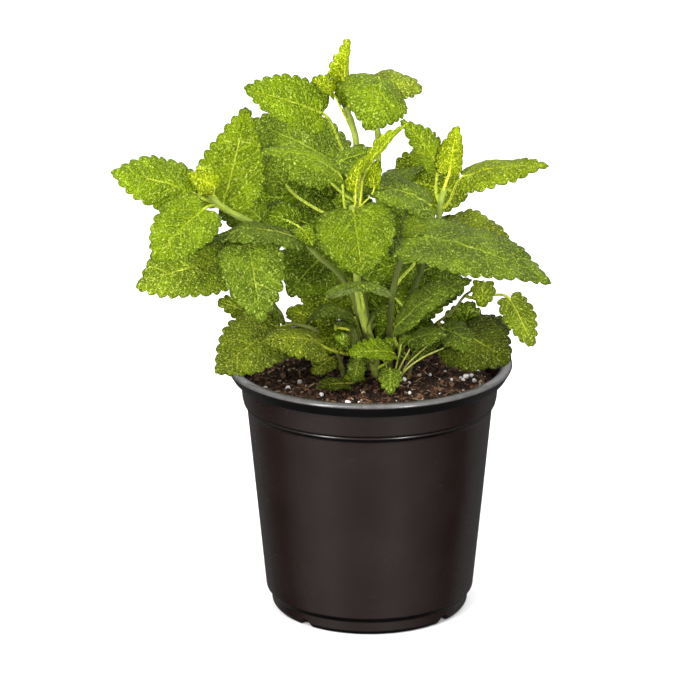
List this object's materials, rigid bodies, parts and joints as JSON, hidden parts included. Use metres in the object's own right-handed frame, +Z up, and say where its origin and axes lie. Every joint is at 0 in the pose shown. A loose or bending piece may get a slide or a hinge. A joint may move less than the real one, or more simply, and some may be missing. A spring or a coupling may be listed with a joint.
{
  "type": "potted herb",
  "caption": "Bushy lemon balm with toothed, wrinkled leaves on upright shoots, growing in a thin round nursery pot with a rolled lip and filled with potting mix",
  "frame": {"origin": "On the pot's axis, on the underside of its base, where the pot stands", "axes": "+Z up, along the pot's axis and the plant's height; -Y is the side the fullest foliage faces; +X to the right seen from that side"},
  "size_m": [0.1902, 0.1418, 0.2584],
  "materials": {
    "pot_plastic": "satin",
    "potting_mix": "matte",
    "stem_green": "satin",
    "leaf_young": "satin",
    "leaf_mid": "satin",
    "leaf_deep": "matte"
  },
  "bodies": {
    "root": {"pot": "pot_plastic", "potting_mix": "potting_mix", "stem_tall": "stem_green", "stem_front": "stem_green", "stem_left": "stem_green", "stem_left_mid": "stem_green", "stem_right": "stem_green", "stem_right_mid": "stem_green", "stem_right_low": "stem_green", "stem_left_low": "stem_green", "stem_top_right": "stem_green", "stem_back": "stem_green", "leaf_top": "leaf_young", "leaf_top_small": "leaf_young", "leaf_top_left": "leaf_young", "leaf_top_right": "leaf_young", "leaf_top_right_back": "leaf_mid", "leaf_upper_left_back": "leaf_mid", "leaf_centre_left": "leaf_young", "leaf_centre_right": "leaf_young", "leaf_centre_tip": "leaf_young", "leaf_centre_back": "leaf_deep", "leaf_heart": "leaf_young", "leaf_umbrella": "leaf_mid", "leaf_left_tip": "leaf_young", "leaf_left_outer": "leaf_young", "leaf_left_upright": "leaf_young", "leaf_left_bright": "leaf_young", "leaf_left_arch": "leaf_mid", "leaf_left_hanging": "leaf_mid", "leaf_left_lower": "leaf_mid", "leaf_back_left_a": "leaf_deep", "leaf_back_left_b": "leaf_deep", "leaf_back_left_c": "leaf_deep", "leaf_low_mid_left": "leaf_deep", "leaf_low_left": "leaf_mid", "leaf_low_dusty": "leaf_mid", "leaf_low_round": "leaf_mid", "leaf_basal_arch": "leaf_mid", "leaf_front_bright": "leaf_young", "leaf_front_round": "leaf_mid", "leaf_front_low": "leaf_mid", "leaf_soil": "leaf_deep", "leaf_right_tip": "leaf_young", "leaf_right_upper": "leaf_young", "leaf_right_outer": "leaf_young", "leaf_right_back_dark": "leaf_deep", "leaf_right_mid_grey": "leaf_mid", "leaf_right_mid_back": "leaf_mid", "leaf_right_big": "leaf_mid", "leaf_right_under": "leaf_deep", "leaf_right_dark": "leaf_deep", "leaf_right_lowmid": "leaf_mid", "leaf_right_small": "leaf_mid", "leaf_right_hang": "leaf_mid", "leaf_right_low": "leaf_deep", "leaf_right_low_small": "leaf_mid", "leaf_back_upper": "leaf_mid", "leaf_back_right": "leaf_mid", "leaf_back_low": "leaf_deep"}
  },
  "joints": []
}
